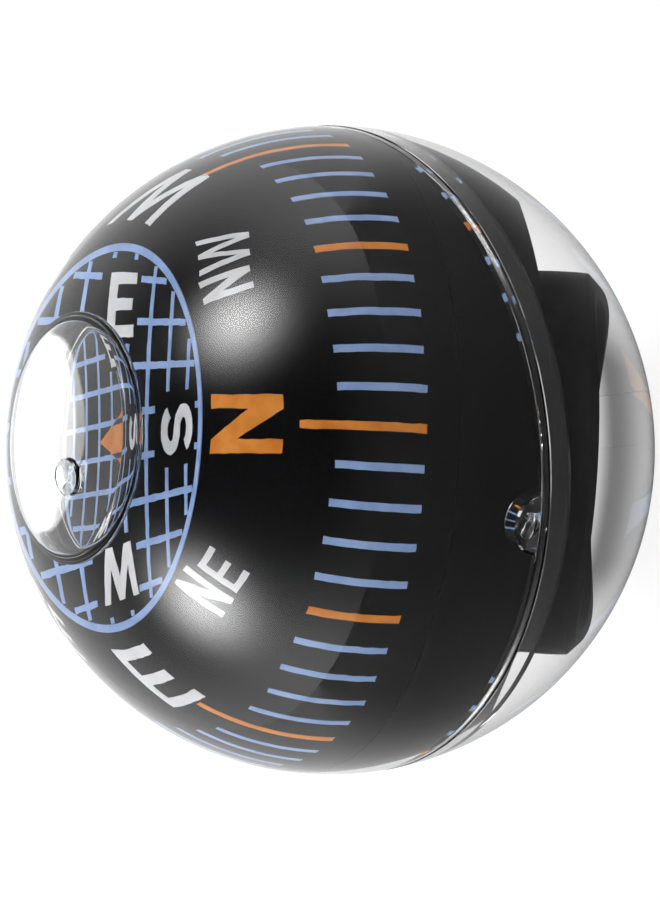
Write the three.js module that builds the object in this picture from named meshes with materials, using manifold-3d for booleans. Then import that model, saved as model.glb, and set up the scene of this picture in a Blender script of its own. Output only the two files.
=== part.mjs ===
// Ball compass for a car dashboard: a clear, liquid-filled ball with a black dial that levels itself inside.
// Millimetres, +Z up. The origin is the ball's centre, which is also the point of the needle that carries the
// dial. The dial hangs plumb, with its north mark towards -Y, and the ball's own axis leans away from plumb.
import * as THREE from "three";
import { mergeVertices } from "three/addons/utils/BufferGeometryUtils.js";
import Module from "manifold-3d";

const wasm = await Module();
wasm.setup();

const DEG = Math.PI / 180;
const HALF = 0.5;

// Ball
const ballRadius = 22.5;
const ballWall = 1.5;
const caseLean = 20.43; // degrees between the ball's axis and plumb
const leanBearing = -116.63; // degrees from +X to the side that the ball's axis leans to

// Joint between the two half shells
const tongueDepth = 2.8;
const tongueThickness = 0.65;
const glueGap = 0.12;
const sealHeight = 0.56;
const sealInset = 0.05;

// Gate stub left by the moulding at each shell's pole
const gateRadius = 1.3;
const gateHeight = 0.35;
const gateChamfer = 0.1;
const gateDimpleRadius = 0.65;
const gateDimpleDepth = 0.25;

// Fill port in the dome's rim, and its plug
const portRadius = 2.15;
const portBearing = -107.8; // degrees round the ball's axis
const portRelief = 0.3; // how far the port's flat side is cut into the tongue
const plugClearance = 0.12;
const plugProud = 0.12;
const plugInward = 0.4;
const dimpleRadius = 1.1;
const dimpleDepth = 0.5;

// Boss in the bowl, and the post that stands in it
const bossRadius = 3.3;
const bossHeight = 2.6;
const bossFillet = 0.8;
const socketDepth = 2.4;
const shankRadius = 1.5;
const shankClearance = 0.12;
const flangeRadius = 2.5;
const flangeHeight = 0.6;
const seatGap = 0.1;
const footRadius = 1.9;
const footHeight = 2;
const postRadius = 1;
const postTopDrop = 2.2; // from the needle's point down to the post's top
const postTopRadius = 0.75;
const postTopTaper = 0.8;

// Needle
const needleRadius = 0.35;
const needlePointLength = 1.4;
const needleInPost = 2.6;
const needleClearance = 0.08;
const pointGap = 0.08;

// Jewel cup and its bush
const jewelRadius = 1.25;
const jewelTop = 1;
const jewelDrop = 0.55; // how far the cup's rim hangs below the needle's point
const jewelConeAngle = 45;
const bushRadius = 2.2;
const bushWall = 0.85;
const bushTop = 2.1;
const bushFlangeRadius = 2.9;
const bushFlangeHeight = 0.5;

// Dial sphere
const dialRadius = 15.5;
const dialRise = 1.2; // height of the dial's centre over the needle's point
const dialWall = 0.9;
const flatLatitude = 45; // where the dial's flat top cuts its sphere
const splitLatitude = -12; // where cap and skirt meet
const rimLatitude = -42; // the skirt's open end
const lapHeight = 0.7;
const lapThickness = 0.4;
const lapClearance = 0.1;
const webThickness = 0.8;
const webRise = 0.9; // height of the web's lower face over the skirt's rim

// Hub
const leanLimit = 23; // degrees that the ball can lean from plumb before the post meets the hub
const limitClearance = 0.27;
const hubWall = 1.1;
const hubFlangeClearance = 0.55; // between the flange's edge and the skirt's wall
const hubFlangeThickness = 0.7;
const hubTopWall = 0.9;
const bushClearance = 0.1;

// Ring magnet
const magnetRadius = 8.5;
const magnetHeight = 3.4;
const magnetWall = 1.6;
const magnetChamfer = 0.5;
const magnetGlue = 0.1;

// Float
const floatGap = 0.3;
const floatTopWidth = 7.5;
const floatShellGap = 0.5;

// Facets
const ballSides = 48;
const dialSides = 40;
const smallSides = 24;
const needleSides = 12;
const outerSteps = 14;
const innerSteps = 11;
const dialSteps = 11;
const skirtSteps = 4;
const filletSteps = 3;

const overrun = 1;
const axisTolerance = 1e-9;
const weldTolerance = 1e-5;

// Sizes that follow from the ones above
const cavityRadius = ballRadius - ballWall;
const tongueOuter = cavityRadius + tongueThickness;
const rebateRadius = tongueOuter + glueGap;
const bowlRim = -(sealHeight + 2 * glueGap);
const tongueEnd = -tongueDepth;
const rebateFloor = tongueEnd - glueGap;
const socketFloor = -(cavityRadius - bossHeight) - socketDepth;
const bossTop = -(cavityRadius - bossHeight);
const flangeBottom = bossTop + seatGap;
const leanSlope = Math.tan(leanLimit * DEG);
const hubBoreAtPoint = (postRadius + limitClearance) / Math.cos(leanLimit * DEG);
const dialInner = dialRadius - dialWall;
const rimHeight = dialRise + dialRadius * Math.sin(rimLatitude * DEG);
const webBottom = rimHeight + webRise;
const webTop = webBottom + webThickness;
const hubFlangeTop = webBottom - lapClearance;
const hubFlangeBottom = hubFlangeTop - hubFlangeThickness;
const magnetTop = hubFlangeBottom - magnetGlue;
const magnetBottom = magnetTop - magnetHeight;
const lipTop = -(jewelDrop + bushClearance);
const hubSeat = bushRadius + bushClearance;
const hubNeck = hubSeat + hubTopWall;

// Radius of the hub's funnel at height z below the needle's point.
const hubBore = (z) => hubBoreAtPoint - z * leanSlope;
const hubOuter = (z) => hubBore(z) + hubWall;
const hubShoulder = (hubOuter(0) - hubNeck) / leanSlope;
const onSphere = (radius, z) => Math.sqrt(radius * radius - z * z);
const hubFlangeRadius = onSphere(dialInner, hubFlangeBottom - dialRise) - hubFlangeClearance;

const material = (color, roughness, metalness = 0, opacity = 1) =>
  new THREE.MeshStandardMaterial({ color, roughness, metalness, opacity, transparent: opacity < 1 });

const clearPlastic = material(0xe8ecee, 0.08, 0, 0.3);
const clearSeal = material(0xd5dadc, 0.15, 0, 0.5);
const blackPlastic = material(0x101011, 0.45);
const ferrite = material(0x161617, 0.6);
const steel = material(0xb8babd, 0.3, 1);
const brass = material(0xb08d45, 0.35, 1);
const glass = material(0xc9d6da, 0.1, 0, 0.6);
const foam = material(0x33363a, 0.9);

// Points of an arc in a profile of [radius, height] pairs, by latitude in degrees.
function arc(radius, from, to, steps, rise = 0) {
  const points = [];
  for (let i = 0; i <= steps; i += 1) {
    const latitude = (from + ((to - from) * i) / steps) * DEG;
    points.push([radius * Math.cos(latitude), rise + radius * Math.sin(latitude)]);
  }
  return points;
}

// Latitude in degrees at which a sphere reaches a height.
const latitudeAt = (radius, z) => Math.asin(z / radius) / DEG;

// Latitude in degrees at which a sphere narrows to a radius, on its upper half.
const latitudeOf = (radius, r) => Math.acos(r / radius) / DEG;

// A body of revolution about Z. The profile runs anticlockwise, seen with the radius to the right.
function revolve(profile, sides) {
  const points = profile.map(([r, z]) => new THREE.Vector2(r < axisTolerance ? 0 : r, z));
  const [first] = points;
  const last = points[points.length - 1];
  if (first.x > 0 || last.x > 0) points.push(first.clone());
  return new THREE.LatheGeometry(points, sides).rotateX(90 * DEG);
}

function toSolid(geometry) {
  const bare = geometry.clone();
  bare.deleteAttribute("normal");
  bare.deleteAttribute("uv");
  const merged = mergeVertices(bare, weldTolerance);
  return new wasm.Manifold(
    new wasm.Mesh({
      numProp: 3,
      vertProperties: merged.attributes.position.array,
      triVerts: new Uint32Array(merged.index.array),
    }),
  );
}

function toGeometry(solid) {
  const { vertProperties, triVerts } = solid.getMesh();
  const geometry = new THREE.BufferGeometry();
  geometry.setAttribute("position", new THREE.BufferAttribute(vertProperties, 3));
  geometry.setIndex(new THREE.BufferAttribute(triVerts, 1));
  geometry.computeVertexNormals();
  return geometry;
}

function piece(name, geometry, look) {
  const mesh = new THREE.Mesh(geometry, look);
  mesh.name = name;
  return mesh;
}

// The gate stub's outline on top of a sphere, from the sphere's surface to the axis.
function gateOutline(radius) {
  const top = radius + gateHeight;
  return [
    [gateRadius, top - gateChamfer],
    [gateRadius - gateChamfer, top],
    [gateDimpleRadius, top],
    [0, top - gateDimpleDepth],
  ];
}

const mirrored = (profile) => profile.map(([r, z]) => [r, -z]).reverse();

// A prism that runs outwards through the wall at the port. Its outline is a half circle over its centre's
// height, with straight sides down to its foot.
function portPrism(radius, centre, foot, from, to) {
  const outline = new THREE.Shape();
  outline.moveTo(-radius, foot);
  outline.lineTo(radius, foot);
  outline.absarc(0, centre, radius, 0, Math.PI, false);
  const prism = new THREE.ExtrudeGeometry(outline, {
    depth: to - from,
    bevelEnabled: false,
    curveSegments: smallSides * HALF,
  });
  prism.translate(0, 0, from);
  prism.rotateX(90 * DEG); // the outline now stands in XZ and runs along -Y
  return prism.rotateZ((portBearing + 90) * DEG);
}

function upperDome() {
  const shell = revolve(
    [
      ...arc(cavityRadius, 90, 0, innerSteps),
      [cavityRadius, tongueEnd],
      [tongueOuter, tongueEnd],
      [tongueOuter, 0],
      ...arc(ballRadius, 0, latitudeOf(ballRadius, gateRadius), outerSteps),
      ...gateOutline(ballRadius),
    ],
    ballSides,
  );
  const port = portPrism(portRadius, 0, -portRelief, cavityRadius - ballWall, ballRadius + overrun);
  return toGeometry(toSolid(shell).subtract(toSolid(port)));
}

function fillPlug() {
  const radius = portRadius - 2 * plugClearance;
  const inward = cavityRadius - plugInward;
  const prism = portPrism(radius, plugClearance, plugClearance, inward, ballRadius + overrun);
  const outer = new THREE.SphereGeometry(ballRadius + plugProud, 2 * ballSides, ballSides).rotateX(90 * DEG);
  const middle = plugClearance + radius * HALF;
  const dimple = new THREE.SphereGeometry(dimpleRadius, smallSides, smallSides * HALF);
  const reach = onSphere(ballRadius + plugProud, middle) + dimpleRadius - dimpleDepth;
  dimple.translate(reach * Math.cos(portBearing * DEG), reach * Math.sin(portBearing * DEG), middle);
  return toGeometry(toSolid(prism).intersect(toSolid(outer)).subtract(toSolid(dimple)));
}

function sealRing() {
  const top = -glueGap;
  const outer = ballRadius - sealInset;
  return revolve(
    [
      [rebateRadius, top - sealHeight],
      [outer, top - sealHeight],
      [outer, top],
      [rebateRadius, top],
    ],
    ballSides,
  );
}

function lowerBowl() {
  const gateLatitude = latitudeOf(ballRadius, gateRadius);
  const stub = mirrored(gateOutline(ballRadius));
  const outer = arc(ballRadius, -gateLatitude, latitudeAt(ballRadius, bowlRim), outerSteps);
  const cavityTop = latitudeAt(cavityRadius, rebateFloor);
  const filletFoot = bossRadius + bossFillet;
  const inner = arc(cavityRadius, cavityTop, -latitudeOf(cavityRadius, filletFoot), innerSteps);
  const filletBottom = -onSphere(cavityRadius, filletFoot);
  const fillet = [];
  for (let i = 1; i <= filletSteps; i += 1) {
    const angle = (i / (filletSteps + 1)) * 90 * DEG;
    fillet.push([
      filletFoot - bossFillet * Math.sin(angle),
      filletBottom + bossFillet * (1 - Math.cos(angle)),
    ]);
  }
  const socket = shankRadius + shankClearance;
  return revolve(
    [
      ...stub,
      ...outer,
      [rebateRadius, bowlRim],
      [rebateRadius, rebateFloor],
      ...inner,
      ...fillet,
      [bossRadius, bossTop],
      [socket, bossTop],
      [socket, socketFloor],
      [0, socketFloor],
    ],
    ballSides,
  );
}

function pivotPost() {
  const flangeTop = flangeBottom + flangeHeight;
  const shankBottom = socketFloor + seatGap;
  const needleHole = needleRadius + needleClearance;
  const top = -postTopDrop;
  const holeFloor = top - needleInPost - seatGap;
  return revolve(
    [
      [0, shankBottom],
      [shankRadius, shankBottom],
      [shankRadius, flangeBottom],
      [flangeRadius, flangeBottom],
      [flangeRadius, flangeTop],
      [footRadius, flangeTop],
      [postRadius, flangeTop + footHeight],
      [postRadius, top - postTopTaper],
      [postTopRadius, top],
      [needleHole, top],
      [needleHole, holeFloor],
      [0, holeFloor],
    ],
    smallSides,
  );
}

function pivotNeedle() {
  const bottom = -postTopDrop - needleInPost;
  return revolve(
    [
      [0, bottom],
      [needleRadius, bottom],
      [needleRadius, -pointGap - needlePointLength],
      [0, -pointGap],
    ],
    needleSides,
  );
}

function jewelCup() {
  const recessRadius = jewelDrop * Math.tan(jewelConeAngle * DEG);
  return revolve(
    [
      [0, 0],
      [recessRadius, -jewelDrop],
      [jewelRadius, -jewelDrop],
      [jewelRadius, jewelTop],
      [0, jewelTop],
    ],
    smallSides,
  );
}

function jewelBush() {
  const bore = bushRadius - bushWall;
  const ceiling = jewelTop + bushClearance;
  return revolve(
    [
      [0, ceiling],
      [bore, ceiling],
      [bore, -jewelDrop],
      [bushRadius, -jewelDrop],
      [bushRadius, bushTop],
      [bushFlangeRadius, bushTop],
      [bushFlangeRadius, bushTop + bushFlangeHeight],
      [0, bushTop + bushFlangeHeight],
    ],
    smallSides,
  );
}

function dialHub() {
  const neckTop = bushTop - bushClearance;
  return revolve(
    [
      [hubBore(lipTop), lipTop],
      [hubBore(hubFlangeBottom), hubFlangeBottom],
      [hubFlangeRadius, hubFlangeBottom],
      [hubFlangeRadius, hubFlangeTop],
      [hubOuter(hubFlangeTop), hubFlangeTop],
      [hubNeck, hubShoulder],
      [hubNeck, neckTop],
      [hubSeat, neckTop],
      [hubSeat, lipTop],
    ],
    dialSides,
  );
}

function ringMagnet() {
  const bore = magnetRadius - magnetWall;
  return revolve(
    [
      [bore, magnetBottom + magnetChamfer],
      [bore + magnetChamfer, magnetBottom],
      [magnetRadius - magnetChamfer, magnetBottom],
      [magnetRadius, magnetBottom + magnetChamfer],
      [magnetRadius, magnetTop],
      [bore, magnetTop],
    ],
    dialSides,
  );
}

function floatRing() {
  const bottom = webTop + floatGap;
  const top = hubShoulder - floatGap;
  const waist = (bottom + top) * HALF;
  const inner = (z) => hubOuter(z) + floatGap;
  const outer = (z) => onSphere(dialInner, z - dialRise) - floatShellGap;
  return revolve(
    [
      [inner(bottom), bottom],
      [outer(bottom), bottom],
      [outer(waist), waist],
      [inner(top) + floatTopWidth, top],
      [inner(top), top],
    ],
    dialSides,
  );
}

// The cap's top is flat. At its foot the cap laps over the skirt: its outer half runs down past the split,
// outside the skirt's thinned edge.
function dialCap() {
  const split = dialRise + dialRadius * Math.sin(splitLatitude * DEG);
  const lapEnd = split - lapHeight;
  const lapInner = (z) => onSphere(dialRadius, z - dialRise) - lapThickness;
  const outer = arc(dialRadius, latitudeAt(dialRadius, lapEnd - dialRise), flatLatitude, dialSteps, dialRise);
  const ceiling = dialRise + dialRadius * Math.sin(flatLatitude * DEG) - dialWall;
  const innerTop = latitudeAt(dialInner, ceiling - dialRise);
  const inner = arc(dialInner, innerTop, latitudeAt(dialInner, split - dialRise), dialSteps, dialRise);
  return revolve(
    [
      [0, ceiling],
      ...inner,
      [lapInner(split), split],
      [lapInner(lapEnd), lapEnd],
      ...outer,
      [0, ceiling + dialWall],
    ],
    dialSides,
  );
}

function dialSkirt() {
  const split = dialRise + dialRadius * Math.sin(splitLatitude * DEG);
  const lapEnd = split - lapHeight;
  const edge = (z) => onSphere(dialRadius, z - dialRise) - lapThickness - lapClearance;
  const shoulder = lapEnd - lapClearance;
  const outerTop = latitudeAt(dialRadius, shoulder - dialRise);
  const outer = arc(dialRadius, rimLatitude, outerTop, skirtSteps, dialRise);
  const edgeTop = split - lapClearance;
  const inner = arc(
    dialInner,
    latitudeAt(dialInner, edgeTop - dialRise),
    latitudeAt(dialInner, webTop - dialRise),
    skirtSteps,
    dialRise,
  );
  const webInner = hubOuter(webBottom) + floatGap;
  return revolve(
    [
      ...outer,
      [edge(shoulder), shoulder],
      [edge(edgeTop), edgeTop],
      ...inner,
      [webInner, webTop],
      [webInner, webBottom],
      [onSphere(dialInner, webBottom - dialRise), webBottom],
      [onSphere(dialInner, rimHeight - dialRise), rimHeight],
    ],
    dialSides,
  );
}

function ballCase() {
  const group = new THREE.Group();
  const axis = new THREE.Vector3(
    Math.sin(caseLean * DEG) * Math.cos(leanBearing * DEG),
    Math.sin(caseLean * DEG) * Math.sin(leanBearing * DEG),
    Math.cos(caseLean * DEG),
  );
  group.quaternion.setFromUnitVectors(new THREE.Vector3(0, 0, 1), axis);
  group.add(
    piece("upper_dome", upperDome(), clearPlastic),
    piece("lower_bowl", lowerBowl(), clearPlastic),
    piece("seam_seal", sealRing(), clearSeal),
    piece("fill_plug", fillPlug(), clearPlastic),
    piece("pivot_post", pivotPost(), clearPlastic),
    piece("pivot_needle", pivotNeedle(), steel),
  );
  return group;
}

function dial() {
  const group = new THREE.Group();
  group.add(
    piece("jewel_cup", jewelCup(), glass),
    piece("jewel_bush", jewelBush(), brass),
    piece("dial_hub", dialHub(), blackPlastic),
    piece("dial_cap", dialCap(), blackPlastic),
    piece("dial_skirt", dialSkirt(), blackPlastic),
    piece("ring_magnet", ringMagnet(), ferrite),
    piece("float_ring", floatRing(), foam),
  );
  return group;
}

const compass = new THREE.Group();
compass.add(ballCase(), dial());

export default compass;
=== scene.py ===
"""A car dashboard ball compass: a clear, liquid-filled ball round a black dial that levels itself."""
import math

import bmesh
import bpy
from mathutils import Matrix, Vector, noise


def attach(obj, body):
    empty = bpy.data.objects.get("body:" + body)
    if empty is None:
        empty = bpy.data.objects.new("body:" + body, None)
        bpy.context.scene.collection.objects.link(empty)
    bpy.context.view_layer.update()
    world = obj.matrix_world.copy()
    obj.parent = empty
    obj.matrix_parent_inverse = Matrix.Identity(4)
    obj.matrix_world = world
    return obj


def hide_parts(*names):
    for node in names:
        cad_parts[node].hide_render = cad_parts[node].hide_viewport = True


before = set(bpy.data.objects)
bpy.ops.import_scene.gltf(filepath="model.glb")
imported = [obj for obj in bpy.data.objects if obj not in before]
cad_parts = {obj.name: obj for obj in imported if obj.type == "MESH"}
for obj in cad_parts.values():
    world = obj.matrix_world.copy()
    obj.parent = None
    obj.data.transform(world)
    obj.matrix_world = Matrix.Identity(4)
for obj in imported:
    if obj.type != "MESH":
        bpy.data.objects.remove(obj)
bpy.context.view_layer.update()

DEG = math.pi / 180
MM = 0.001
HALF = 0.5
POLE = 90
HALF_TURN = 180
FULL_TURN = 360

# Camera, fitted to the photograph: distance in millimetres, angles in degrees
CAMERA_DISTANCE = 450
CAMERA_ELEVATION = 19.71
CAMERA_BEARING = -95.89
CAMERA_ROLL = 3.24
SENSOR_HEIGHT = 24
FOCAL_LENGTH = 173.06

# Ball, in millimetres as all sizes here
BALL_RADIUS = 22.5
BALL_WALL = 1.5
CASE_LEAN = 20.43
LEAN_BEARING = -116.63
TONGUE_DEPTH = 2.8
TONGUE_THICKNESS = 0.65
GLUE_GAP = 0.12
SEAL_HEIGHT = 0.56
SEAL_INSET = 0.05
RIM_BREAK = 0.06

# Gate stub at each pole of the ball
GATE_RADIUS = 1.3
GATE_HEIGHT = 0.35
GATE_CHAMFER = 0.1
GATE_DIMPLE_RADIUS = 0.65
GATE_DIMPLE_DEPTH = 0.25

# Fill port and plug
PORT_RADIUS = 2.15
PORT_BEARING = -107.8
PORT_RELIEF = 0.3
PLUG_CLEARANCE = 0.12
PLUG_PROUD = 0.12
PLUG_INWARD = 0.4
DIMPLE_RADIUS = 1.1
DIMPLE_DEPTH = 0.5

# Boss, post and needle
BOSS_RADIUS = 3.3
BOSS_HEIGHT = 2.6
BOSS_FILLET = 0.8
SOCKET_DEPTH = 2.4
SHANK_RADIUS = 1.5
SHANK_CLEARANCE = 0.12
FLANGE_RADIUS = 2.5
FLANGE_HEIGHT = 0.6
SEAT_GAP = 0.1
FOOT_RADIUS = 1.9
FOOT_HEIGHT = 2.0
POST_RADIUS = 1.0
POST_TOP_DROP = 2.2
POST_TOP_RADIUS = 0.75
POST_TOP_TAPER = 0.8
NEEDLE_RADIUS = 0.35
NEEDLE_POINT_LENGTH = 1.4
NEEDLE_IN_POST = 2.6
NEEDLE_CLEARANCE = 0.08
POINT_GAP = 0.08

# Dial
DIAL_RADIUS = 15.5
DIAL_RISE = 1.2
DIAL_WALL = 0.9
FLAT_LATITUDE = 45.0
SPLIT_LATITUDE = -12.0
RIM_LATITUDE = -42.0
LAP_HEIGHT = 0.7
LAP_THICKNESS = 0.4
LAP_CLEARANCE = 0.1
EDGE_ROUND = 0.25

# Jewel, bush, hub, magnet and float that the dial carries
JEWEL_RADIUS = 1.25
JEWEL_TOP = 1.0
JEWEL_DROP = 0.55
BUSH_RADIUS = 2.2
BUSH_BORE = 1.35
BUSH_CEILING = 1.1
BUSH_TOP = 2.1
BUSH_FLANGE_RADIUS = 2.9
BUSH_FLANGE_HEIGHT = 0.5
LEAN_LIMIT = 23.0
LIMIT_CLEARANCE = 0.27
HUB_WALL = 1.1
HUB_LIP_TOP = -0.65
HUB_SEAT = 2.3
HUB_NECK = 3.2
HUB_NECK_TOP = 2.0
HUB_FLANGE_THICKNESS = 0.7
HUB_FLANGE_CLEARANCE = 0.55
WEB_RISE = 0.9
WEB_THICKNESS = 0.8
MAGNET_RADIUS = 8.5
MAGNET_WALL = 1.6
MAGNET_HEIGHT = 3.4
MAGNET_CHAMFER = 0.5
MAGNET_GLUE = 0.1
FLOAT_GAP = 0.3
FLOAT_SHELL_GAP = 0.5
FLOAT_TOP_WIDTH = 7.5

# Air bubble under the wall, with the radius of its underside and of its rounded edge
BUBBLE_RADIUS = 8.1
BUBBLE_UNDERSIDE = 50.0
BUBBLE_EDGE = 1.0
BUBBLE_FILM = 0.02
BUBBLE_TILT = 9.5
BUBBLE_BEARING = -98.7

# Print on the dial, with latitudes in degrees
INK_LIFT = 0.035
INK_SINK = 0.03
MESH_STEP = 0.5
WOBBLE = 0.06
WOBBLE_SCALE = 2.2
WOBBLE_STEP = 0.001
WOBBLE_SEED = 1
TICK_COUNT = 40
TICK_WIDTH = 0.5
LONG_TICK_WIDTH = 0.56
TICK_FOOT = -6.6
SHORT_TICK_TOP = 14.4
LONG_TICK_TOP = 22.5
TICK_SPREAD = 3.5
SPREAD_POWER = 3
TICK_RAGGEDNESS = 0.8
ORANGE_EVERY = 5
LONG_EVERY = 10

# Noise that a tick's top and foot follow: its pace from tick to tick and its start
TOP_NOISE = (1.7, 0.3)
FOOT_NOISE = (2.3, 5.1)

# Emblem on the dial's flat top: a ring, a grid with windows in x and y for the letters, and a pointer
EMBLEM_RADIUS = 10.65
EMBLEM_RING_WIDTH = 0.5
GRID_PITCH = 2.5
GRID_LINE = 0.4
LINES_PER_SIDE = 4
GRID_GAP = 0.02
SHORTEST_SPAN = 0.15
CROSS_LIFT = 0.98
WINDOWS = (
    ((5.0, 9.9), (-2.2, 2.2)),
    ((-9.9, -5.3), (-2.4, 2.6)),
    ((-2.2, 2.2), (-9.9, -4.7)),
)
POINTER = ((-2.2, -1.5), (2.2, -1.5), (0, 3.6))

# Mesh fineness
BALL_SIDES = 192
DIAL_SIDES = 160
SMALL_SIDES = 64
BALL_STEPS = 96
CAVITY_STEPS = 80
DIAL_STEPS = 80
EDGE_STEPS = 24
FILLET_STEPS = 13
SHARP_ANGLE = 28.0

# Distances that count as nothing, the weld in metres
SAME_POINT = 0.0005
ON_AXIS = 0.001
CUT_SLACK = 1e-5
WELD = 1e-6

# Sizes that follow
CAVITY_RADIUS = BALL_RADIUS - BALL_WALL
TONGUE_OUTER = CAVITY_RADIUS + TONGUE_THICKNESS
REBATE_RADIUS = TONGUE_OUTER + GLUE_GAP
BOWL_RIM = -(SEAL_HEIGHT + 2 * GLUE_GAP)
REBATE_FLOOR = -TONGUE_DEPTH - GLUE_GAP
BOSS_TOP = -(CAVITY_RADIUS - BOSS_HEIGHT)
SOCKET_FLOOR = BOSS_TOP - SOCKET_DEPTH
DIAL_INNER = DIAL_RADIUS - DIAL_WALL
FLAT_HEIGHT = DIAL_RISE + DIAL_RADIUS * math.sin(FLAT_LATITUDE * DEG)
FLAT_RADIUS = DIAL_RADIUS * math.cos(FLAT_LATITUDE * DEG)
RIM_HEIGHT = DIAL_RISE + DIAL_RADIUS * math.sin(RIM_LATITUDE * DEG)
SPLIT_HEIGHT = DIAL_RISE + DIAL_RADIUS * math.sin(SPLIT_LATITUDE * DEG)
LAP_END = SPLIT_HEIGHT - LAP_HEIGHT
WEB_BOTTOM = RIM_HEIGHT + WEB_RISE
WEB_TOP = WEB_BOTTOM + WEB_THICKNESS
LEAN_SLOPE = math.tan(LEAN_LIMIT * DEG)
HUB_BORE_AT_POINT = (POST_RADIUS + LIMIT_CLEARANCE) / math.cos(LEAN_LIMIT * DEG)
HUB_SHOULDER = (HUB_BORE_AT_POINT + HUB_WALL - HUB_NECK) / LEAN_SLOPE
HUB_FLANGE_TOP = WEB_BOTTOM - LAP_CLEARANCE
HUB_FLANGE_BOTTOM = HUB_FLANGE_TOP - HUB_FLANGE_THICKNESS

Z_AXIS = Vector((0, 0, 1))
UPRIGHT = Matrix.Identity(4)


def leaning(lean, bearing):
    """The direction that leans so many degrees from plumb towards a bearing."""
    flat = math.sin(lean * DEG)
    return Vector((flat * math.cos(bearing * DEG), flat * math.sin(bearing * DEG), math.cos(lean * DEG)))


def aim(bearing, elevation):
    """The direction at a bearing and an elevation in degrees."""
    return leaning(POLE - elevation, bearing)


def upright_to(direction):
    """The turn that brings plumb to a direction."""
    return Z_AXIS.rotation_difference(direction).to_matrix().to_4x4()


CASE_FRAME = upright_to(leaning(CASE_LEAN, LEAN_BEARING))


# Camera at the photograph's angle, rolled so that plumb runs to the left
def add_camera():
    toward = aim(CAMERA_BEARING, CAMERA_ELEVATION)
    roll = CAMERA_ROLL * DEG
    plumb = (Z_AXIS - toward * toward.z).normalized()
    side = toward.cross(plumb)
    up = plumb * math.sin(roll) - side * math.cos(roll)
    right = -plumb * math.cos(roll) - side * math.sin(roll)
    data = bpy.data.cameras.new("camera")
    data.sensor_fit = "VERTICAL"
    data.sensor_height = SENSOR_HEIGHT
    data.lens = FOCAL_LENGTH
    data.clip_start = MM
    camera = bpy.data.objects.new("camera", data)
    turn = Matrix((right, up, toward)).transposed().to_4x4()
    camera.matrix_world = Matrix.Translation(toward * CAMERA_DISTANCE * MM) @ turn
    bpy.context.scene.collection.objects.link(camera)
    bpy.context.scene.camera = camera
    return toward


# Materials: a colour ramp's ends on the noise, how far roughness strays with it, and the bumps
WHITE = (1, 1, 1, 1)
RAMP_START = 0.35
RAMP_STOP = 0.65
PLASTIC_STRAY = 0.05
METAL_STRAY_DOWN = 0.06
METAL_STRAY_UP = 0.08
METAL_DETAIL = 5.0
WAVE_SCALE = 420
WAVE_DEPTH = 0.02
GRAIN_STRENGTH = 0.04
GRAIN_DEPTH = 0.01


def new_material(name):
    material = bpy.data.materials.new(name)
    material.use_nodes = True
    tree = material.node_tree
    shader = tree.nodes["Principled BSDF"]
    return material, tree, shader


def add_noise(tree, scale, detail=3.0):
    coordinates = tree.nodes.new("ShaderNodeTexCoord")
    texture = tree.nodes.new("ShaderNodeTexNoise")
    texture.inputs["Scale"].default_value = scale
    texture.inputs["Detail"].default_value = detail
    tree.links.new(coordinates.outputs["Object"], texture.inputs["Vector"])
    return texture.outputs["Fac"]


def add_bump(tree, shader, height, strength, distance):
    bump = tree.nodes.new("ShaderNodeBump")
    bump.inputs["Strength"].default_value = strength
    bump.inputs["Distance"].default_value = distance * MM
    tree.links.new(height, bump.inputs["Height"])
    tree.links.new(bump.outputs["Normal"], shader.inputs["Normal"])


def add_ramp(tree, factor, low, high):
    ramp = tree.nodes.new("ShaderNodeValToRGB")
    ramp.color_ramp.elements[0].position = RAMP_START
    ramp.color_ramp.elements[1].position = RAMP_STOP
    ramp.color_ramp.elements[0].color = (*low, 1)
    ramp.color_ramp.elements[1].color = (*high, 1)
    tree.links.new(factor, ramp.inputs["Fac"])
    return ramp.outputs["Color"]


def add_range(tree, factor, low, high):
    mapped = tree.nodes.new("ShaderNodeMapRange")
    mapped.inputs["To Min"].default_value = low
    mapped.inputs["To Max"].default_value = high
    tree.links.new(factor, mapped.inputs["Value"])
    return mapped.outputs["Result"]


def clear_material(name, ior, waviness):
    material, tree, shader = new_material(name)
    shader.inputs["Base Color"].default_value = WHITE
    shader.inputs["Roughness"].default_value = 0
    shader.inputs["IOR"].default_value = ior
    shader.inputs["Transmission Weight"].default_value = 1
    if waviness:
        add_bump(tree, shader, add_noise(tree, WAVE_SCALE), waviness, WAVE_DEPTH)
    return material


def plastic_material(name, low, high, roughness, grain, ior):
    material, tree, shader = new_material(name)
    texture = add_noise(tree, grain)
    tree.links.new(add_ramp(tree, texture, low, high), shader.inputs["Base Color"])
    rough = add_range(tree, texture, roughness - PLASTIC_STRAY, roughness + PLASTIC_STRAY)
    tree.links.new(rough, shader.inputs["Roughness"])
    add_bump(tree, shader, texture, GRAIN_STRENGTH, GRAIN_DEPTH)
    shader.inputs["IOR"].default_value = ior
    return material


def metal_material(name, low, high, roughness, grain):
    material, tree, shader = new_material(name)
    texture = add_noise(tree, grain, METAL_DETAIL)
    tree.links.new(add_ramp(tree, texture, low, high), shader.inputs["Base Color"])
    rough = add_range(tree, texture, roughness - METAL_STRAY_DOWN, roughness + METAL_STRAY_UP)
    tree.links.new(rough, shader.inputs["Roughness"])
    shader.inputs["Metallic"].default_value = 1
    return material


# Refractive indices; the liquid has the plastic's, and what lies in it is given relative to that
PLASTIC_IOR = 1.47
MATCHED_IOR = 1.0
IN_LIQUID_IOR = 1.003
AIR_IN_LIQUID_IOR = 1 / PLASTIC_IOR
JEWEL_IN_LIQUID_IOR = 1.2
DIAL_IN_LIQUID_IOR = 1.08
FERRITE_IN_LIQUID_IOR = 1.04
MATT_IN_LIQUID_IOR = 1.1

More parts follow.
